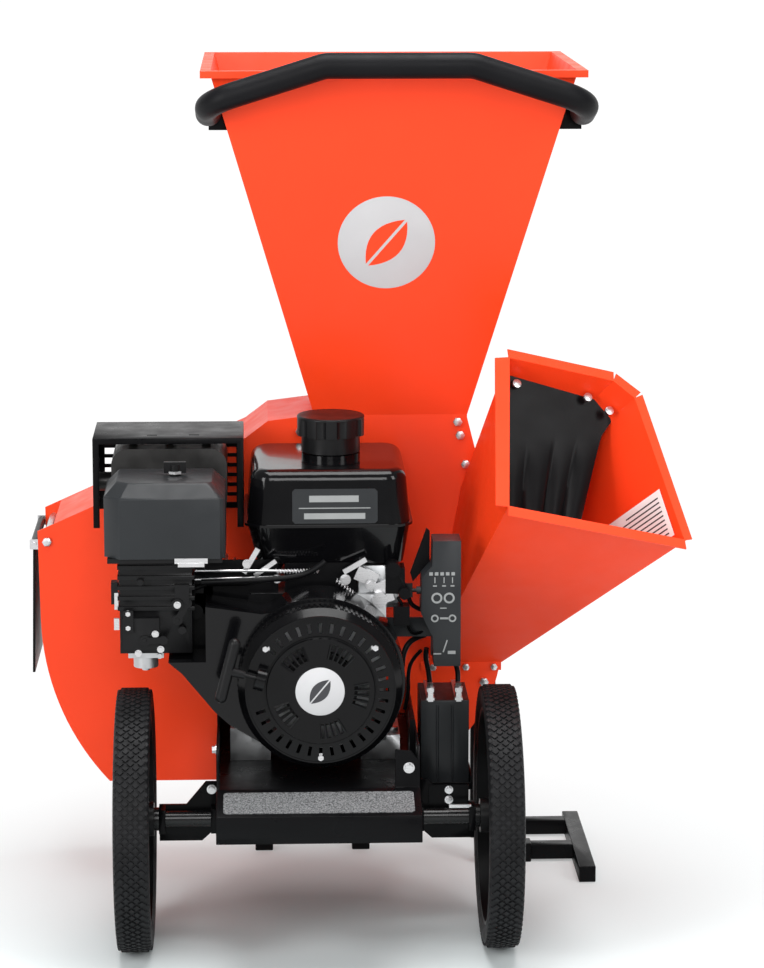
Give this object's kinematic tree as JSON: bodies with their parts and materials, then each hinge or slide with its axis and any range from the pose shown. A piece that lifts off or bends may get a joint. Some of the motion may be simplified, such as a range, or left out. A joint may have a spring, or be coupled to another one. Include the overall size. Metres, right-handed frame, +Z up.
{
  "type": "wood chipper",
  "caption": "Wheeled petrol wood chipper with a flared top hopper, a tapered side chute, a plate rotor housing with a rubber flap, a step deck, wheels and steady foot.",
  "frame": {"origin": "on the floor under the centre of the whole object's box", "axes": "+Z up, +Y from the starter side towards the rotor housing, +X towards the side chute; the discharge flap is on the -X side"},
  "size_m": [1.0366, 0.863, 1.371],
  "materials": {
    "orange_steel": "powder coat",
    "black_steel": "satin powder coat",
    "gloss_black_steel": "gloss enamel",
    "grip_tape": "gritty",
    "axle_steel": "satin",
    "tyre": "matt rubber",
    "black_plastic": "moulded",
    "gloss_black_plastic": "gloss moulded",
    "satin_plastic": "satin moulded",
    "zinc_steel": "zinc plated",
    "bare_steel": "machined",
    "cast_housing": "cast",
    "black_rubber": "matt",
    "grip_foam": "closed-cell foam",
    "engine_aluminium": "cast",
    "filter_paper": "pleated paper",
    "muffler_steel": "heat stained"
  },
  "bodies": {
    "chassis": {"deck": "black_steel", "step_grip": "grip_tape", "axle_brackets": "black_steel", "axle": "axle_steel", "rear_stand": "black_steel", "foot_sleeves": "black_steel", "housing_front_plate": "orange_steel", "housing_back_plate": "orange_steel", "housing_wrap": "orange_steel", "housing_spacers": "zinc_steel", "bolts": "zinc_steel", "discharge_screen": "bare_steel", "rear_bearing": "cast_housing", "hopper": "orange_steel", "handlebar": "black_steel", "handle_foam": "grip_foam", "handle_brackets": "black_steel", "chute": "orange_steel", "chute_curtain": "black_rubber", "engine_block": "engine_aluminium", "fan_shroud": "gloss_black_steel", "recoil_cover": "gloss_black_plastic", "fuel_tank": "gloss_black_steel", "air_cleaner_cover": "satin_plastic", "air_cleaner_base": "black_plastic", "air_filter": "filter_paper", "intake_box": "black_plastic", "carburettor": "engine_aluminium", "muffler": "muffler_steel", "muffler_guard": "black_steel", "governor_rods": "zinc_steel", "fuel_hose": "black_rubber", "control_box": "satin_plastic", "battery": "satin_plastic", "battery_tray": "black_steel", "battery_clamps": "zinc_steel"},
    "left_wheel_body": {"left_tyre": "tyre", "left_wheel": "black_plastic"},
    "right_wheel_body": {"right_tyre": "tyre", "right_wheel": "black_plastic"},
    "rotor_body": {"crankshaft": "bare_steel", "rotor": "bare_steel", "chipper_knives": "bare_steel", "hammer_pins": "bare_steel", "fan_flywheel": "engine_aluminium"},
    "hammer_body_1": {"hammer_1": "bare_steel"},
    "hammer_body_2": {"hammer_2": "bare_steel"},
    "hammer_body_3": {"hammer_3": "bare_steel"},
    "hammer_body_4": {"hammer_4": "bare_steel"},
    "flap_body": {"discharge_flap": "black_rubber"},
    "pull_body": {"pull_handle": "black_plastic"},
    "pulley_body": {"starter_pulley": "black_plastic"},
    "cap_body": {"fuel_cap": "black_plastic"},
    "knob_body": {"air_cleaner_knob": "black_plastic"},
    "choke_body": {"choke_lever": "black_plastic"},
    "fuel_valve_body": {"fuel_valve_lever": "black_plastic"},
    "key_body": {"ignition_key": "black_plastic"},
    "foot_body": {"foot": "black_steel"}
  },
  "joints": [
    {"name": "left_wheel_spin", "type": "hinge", "parent": "chassis", "child": "left_wheel_body", "pos_m": [-0.33979, -0.2285, 0.203], "axis": [1, 0, 0], "continuous": true},
    {"name": "right_wheel_spin", "type": "hinge", "parent": "chassis", "child": "right_wheel_body", "pos_m": [0.22121, -0.2285, 0.203], "axis": [1, 0, 0], "continuous": true},
    {"name": "rotor_spin", "type": "hinge", "parent": "chassis", "child": "rotor_body", "pos_m": [-0.05529, 0.1715, 0.43], "axis": [0, 1, 0], "continuous": true},
    {"name": "hammer_swing_1", "type": "hinge", "parent": "rotor_body", "child": "hammer_body_1", "pos_m": [0.03522, 0.2375, 0.52051], "axis": [0, 1, 0], "range_deg": [-75, 75]},
    {"name": "hammer_swing_2", "type": "hinge", "parent": "rotor_body", "child": "hammer_body_2", "pos_m": [-0.1458, 0.2375, 0.52051], "axis": [0, 1, 0], "range_deg": [-75, 75]},
    {"name": "hammer_swing_3", "type": "hinge", "parent": "rotor_body", "child": "hammer_body_3", "pos_m": [-0.1458, 0.2375, 0.33949], "axis": [0, 1, 0], "range_deg": [-75, 75]},
    {"name": "hammer_swing_4", "type": "hinge", "parent": "rotor_body", "child": "hammer_body_4", "pos_m": [0.03522, 0.2375, 0.33949], "axis": [0, 1, 0], "range_deg": [-75, 75]},
    {"name": "flap_swing", "type": "hinge", "parent": "chassis", "child": "flap_body", "pos_m": [-0.51129, 0.1965, 0.566], "axis": [0, 1, 0], "range_deg": [0, 75]},
    {"name": "starter_pull", "type": "slide", "parent": "chassis", "child": "pull_body", "axis": [-0.9602, 0, 0.2793], "range_m": [0, 0.6], "stiffness_N_per_m": 30, "springref_m": -0.05},
    {"name": "pulley_turn", "type": "hinge", "parent": "chassis", "child": "pulley_body", "pos_m": [-0.05529, -0.3045, 0.43], "axis": [0, 1, 0], "range_deg": [0, 700]},
    {"name": "fuel_cap_turn", "type": "hinge", "parent": "chassis", "child": "cap_body", "pos_m": [-0.03329, -0.0535, 0.775], "axis": [0, 0, 1], "range_deg": [0, 90]},
    {"name": "cleaner_knob_turn", "type": "hinge", "parent": "chassis", "child": "knob_body", "pos_m": [-0.27429, -0.1785, 0.74], "axis": [0, 0, 1], "range_deg": [0, 360]},
    {"name": "choke_turn", "type": "hinge", "parent": "chassis", "child": "choke_body", "pos_m": [-0.27129, -0.2365, 0.52], "axis": [0, 1, 0], "range_deg": [0, 55]},
    {"name": "fuel_valve_turn", "type": "hinge", "parent": "chassis", "child": "fuel_valve_body", "pos_m": [-0.32129, -0.2445, 0.49], "axis": [0, 1, 0], "range_deg": [0, 60]},
    {"name": "key_turn", "type": "hinge", "parent": "chassis", "child": "key_body", "pos_m": [0.09071, -0.1805, 0.55], "axis": [1, 0, 0], "range_deg": [0, 60]},
    {"name": "foot_slide", "type": "slide", "parent": "chassis", "child": "foot_body", "axis": [1, 0, 0], "range_m": [-0.05, 0]}
  ],
  "couplings": [
    {"joint": "pulley_turn", "follows": "starter_pull", "rad_per_m": 20}
  ]
}
